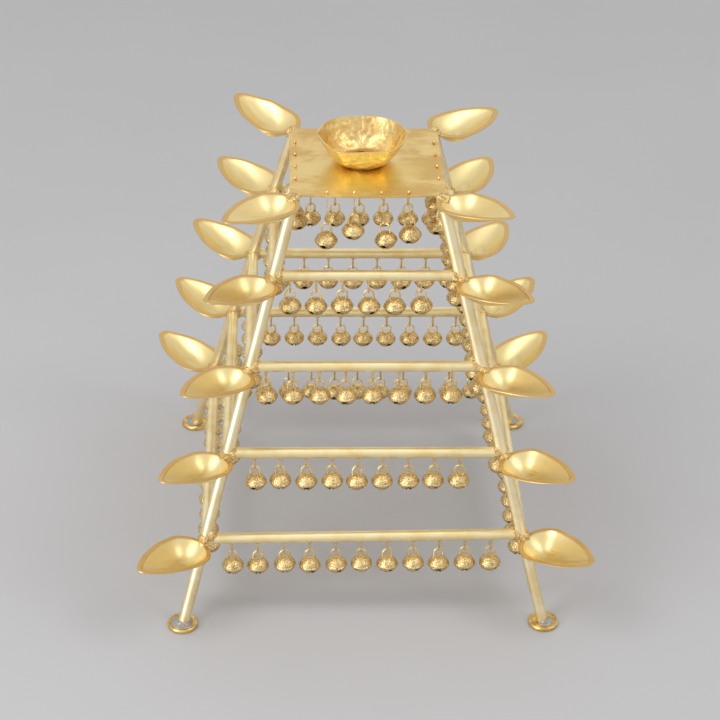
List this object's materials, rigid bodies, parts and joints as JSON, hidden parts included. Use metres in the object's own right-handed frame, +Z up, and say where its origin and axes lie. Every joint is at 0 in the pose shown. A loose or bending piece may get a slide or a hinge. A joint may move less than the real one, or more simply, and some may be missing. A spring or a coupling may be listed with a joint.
{
  "type": "standing oil lamp",
  "caption": "Four-legged tiered brass oil lamp: slanting legs, crossbars hung with small bells, leaf-shaped oil lamps on the legs and a pinched bowl lamp on the top plate.",
  "frame": {"origin": "on the ground, under the middle of the stand, at the middle of the four feet", "axes": "+Z up, -Y the front, +X to the right as seen from the front"},
  "size_m": [0.3112, 0.3112, 0.321],
  "materials": {
    "leg_brass": "satin brass tube, lightly rubbed",
    "crossbar_brass": "satin brass tube, lightly rubbed",
    "leaf_lamp_brass": "pressed brass sheet, soft polish",
    "bell_brass": "cast brass, antique brown, rough",
    "wire_brass": "drawn brass wire, dulled",
    "plate_brass": "brass sheet with heat tint and rubbing marks",
    "beaten_brass": "thin beaten brass, bright",
    "foot_brass": "turned brass disc, satin",
    "brazing_brass": "rough brazing metal",
    "silver_solder": "dull grey solder"
  },
  "bodies": {
    "stand": {"bell_links": "wire_brass", "bowl_lamp": "beaten_brass", "bowl_solder": "brazing_brass", "brazed_joints": "brazing_brass", "crossbars_tier_2": "crossbar_brass", "crossbars_tier_3": "crossbar_brass", "crossbars_tier_4": "crossbar_brass", "crossbars_tier_5": "crossbar_brass", "foot_discs": "foot_brass", "foot_solder": "silver_solder", "leaf_lamp_back_left_tier_1": "leaf_lamp_brass", "leaf_lamp_back_left_tier_2": "leaf_lamp_brass", "leaf_lamp_back_left_tier_3": "leaf_lamp_brass", "leaf_lamp_back_left_tier_4": "leaf_lamp_brass", "leaf_lamp_back_left_tier_5": "leaf_lamp_brass", "leaf_lamp_back_right_tier_1": "leaf_lamp_brass", "leaf_lamp_back_right_tier_2": "leaf_lamp_brass", "leaf_lamp_back_right_tier_3": "leaf_lamp_brass", "leaf_lamp_back_right_tier_4": "leaf_lamp_brass", "leaf_lamp_back_right_tier_5": "leaf_lamp_brass", "leaf_lamp_front_left_tier_1": "leaf_lamp_brass", "leaf_lamp_front_left_tier_2": "leaf_lamp_brass", "leaf_lamp_front_left_tier_3": "leaf_lamp_brass", "leaf_lamp_front_left_tier_4": "leaf_lamp_brass", "leaf_lamp_front_left_tier_5": "leaf_lamp_brass", "leaf_lamp_front_right_tier_1": "leaf_lamp_brass", "leaf_lamp_front_right_tier_2": "leaf_lamp_brass", "leaf_lamp_front_right_tier_3": "leaf_lamp_brass", "leaf_lamp_front_right_tier_4": "leaf_lamp_brass", "leaf_lamp_front_right_tier_5": "leaf_lamp_brass", "leg_back_left": "leg_brass", "leg_back_right": "leg_brass", "leg_front_left": "leg_brass", "leg_front_right": "leg_brass", "plate_hangers": "wire_brass", "top_plate": "plate_brass"},
    "bell_row_front_tier_1": {"bells_front_tier_1": "bell_brass", "bell_wires_front": "wire_brass"},
    "bell_row_right_tier_1": {"bells_right_tier_1": "bell_brass", "bell_wires_right": "wire_brass"},
    "bell_row_back_tier_1": {"bells_back_tier_1": "bell_brass", "bell_wires_back": "wire_brass"},
    "bell_row_left_tier_1": {"bells_left_tier_1": "bell_brass", "bell_wires_left": "wire_brass"},
    "bell_row_front_tier_2": {"bells_front_tier_2": "bell_brass"},
    "bell_row_right_tier_2": {"bells_right_tier_2": "bell_brass"},
    "bell_row_back_tier_2": {"bells_back_tier_2": "bell_brass"},
    "bell_row_left_tier_2": {"bells_left_tier_2": "bell_brass"},
    "bell_row_front_tier_3": {"bells_front_tier_3": "bell_brass"},
    "bell_row_right_tier_3": {"bells_right_tier_3": "bell_brass"},
    "bell_row_back_tier_3": {"bells_back_tier_3": "bell_brass"},
    "bell_row_left_tier_3": {"bells_left_tier_3": "bell_brass"},
    "bell_row_front_tier_4": {"bells_front_tier_4": "bell_brass"},
    "bell_row_right_tier_4": {"bells_right_tier_4": "bell_brass"},
    "bell_row_back_tier_4": {"bells_back_tier_4": "bell_brass"},
    "bell_row_left_tier_4": {"bells_left_tier_4": "bell_brass"},
    "bell_row_front_tier_5": {"bells_front_tier_5": "bell_brass"},
    "bell_row_right_tier_5": {"bells_right_tier_5": "bell_brass"},
    "bell_row_back_tier_5": {"bells_back_tier_5": "bell_brass"},
    "bell_row_left_tier_5": {"bells_left_tier_5": "bell_brass"}
  },
  "joints": [
    {"name": "swing_front_tier_1", "type": "hinge", "parent": "stand", "child": "bell_row_front_tier_1", "pos_m": [0, -0.0465, 0.29615], "axis": [-1, 0, 0], "range_deg": [-15, 45]},
    {"name": "swing_right_tier_1", "type": "hinge", "parent": "stand", "child": "bell_row_right_tier_1", "pos_m": [0.048, 0, 0.29615], "axis": [0, -1, 0], "range_deg": [-15, 45]},
    {"name": "swing_back_tier_1", "type": "hinge", "parent": "stand", "child": "bell_row_back_tier_1", "pos_m": [0, 0.0465, 0.29615], "axis": [1, 0, 0], "range_deg": [-15, 45]},
    {"name": "swing_left_tier_1", "type": "hinge", "parent": "stand", "child": "bell_row_left_tier_1", "pos_m": [-0.048, 0, 0.29615], "axis": [0, 1, 0], "range_deg": [-15, 45]},
    {"name": "swing_front_tier_2", "type": "hinge", "parent": "stand", "child": "bell_row_front_tier_2", "pos_m": [0, -0.06235, 0.2345], "axis": [-1, 0, 0], "range_deg": [-38, 60]},
    {"name": "swing_right_tier_2", "type": "hinge", "parent": "stand", "child": "bell_row_right_tier_2", "pos_m": [0.06235, 0, 0.2345], "axis": [0, -1, 0], "range_deg": [-38, 60]},
    {"name": "swing_back_tier_2", "type": "hinge", "parent": "stand", "child": "bell_row_back_tier_2", "pos_m": [0, 0.06235, 0.2345], "axis": [1, 0, 0], "range_deg": [-38, 60]},
    {"name": "swing_left_tier_2", "type": "hinge", "parent": "stand", "child": "bell_row_left_tier_2", "pos_m": [-0.06235, 0, 0.2345], "axis": [0, 1, 0], "range_deg": [-38, 60]},
    {"name": "swing_front_tier_3", "type": "hinge", "parent": "stand", "child": "bell_row_front_tier_3", "pos_m": [0, -0.07855, 0.173], "axis": [-1, 0, 0], "range_deg": [-22, 60]},
    {"name": "swing_right_tier_3", "type": "hinge", "parent": "stand", "child": "bell_row_right_tier_3", "pos_m": [0.07855, 0, 0.173], "axis": [0, -1, 0], "range_deg": [-22, 60]},
    {"name": "swing_back_tier_3", "type": "hinge", "parent": "stand", "child": "bell_row_back_tier_3", "pos_m": [0, 0.07855, 0.173], "axis": [1, 0, 0], "range_deg": [-22, 60]},
    {"name": "swing_left_tier_3", "type": "hinge", "parent": "stand", "child": "bell_row_left_tier_3", "pos_m": [-0.07855, 0, 0.173], "axis": [0, 1, 0], "range_deg": [-22, 60]},
    {"name": "swing_front_tier_4", "type": "hinge", "parent": "stand", "child": "bell_row_front_tier_4", "pos_m": [0, -0.09435, 0.113], "axis": [-1, 0, 0], "range_deg": [-38, 60]},
    {"name": "swing_right_tier_4", "type": "hinge", "parent": "stand", "child": "bell_row_right_tier_4", "pos_m": [0.09435, 0, 0.113], "axis": [0, -1, 0], "range_deg": [-38, 60]},
    {"name": "swing_back_tier_4", "type": "hinge", "parent": "stand", "child": "bell_row_back_tier_4", "pos_m": [0, 0.09435, 0.113], "axis": [1, 0, 0], "range_deg": [-38, 60]},
    {"name": "swing_left_tier_4", "type": "hinge", "parent": "stand", "child": "bell_row_left_tier_4", "pos_m": [-0.09435, 0, 0.113], "axis": [0, 1, 0], "range_deg": [-38, 60]},
    {"name": "swing_front_tier_5", "type": "hinge", "parent": "stand", "child": "bell_row_front_tier_5", "pos_m": [0.00015, -0.10975, 0.053], "axis": [-0.9999, 0, -0.0136], "range_deg": [-38, 60]},
    {"name": "swing_right_tier_5", "type": "hinge", "parent": "stand", "child": "bell_row_right_tier_5", "pos_m": [0.10975, 0, 0.0545], "axis": [0, -1, 0], "range_deg": [-38, 60]},
    {"name": "swing_back_tier_5", "type": "hinge", "parent": "stand", "child": "bell_row_back_tier_5", "pos_m": [0, 0.10975, 0.0545], "axis": [1, 0, 0], "range_deg": [-38, 60]},
    {"name": "swing_left_tier_5", "type": "hinge", "parent": "stand", "child": "bell_row_left_tier_5", "pos_m": [-0.10975, 0, 0.0545], "axis": [0, 1, 0], "range_deg": [-38, 60]}
  ]
}
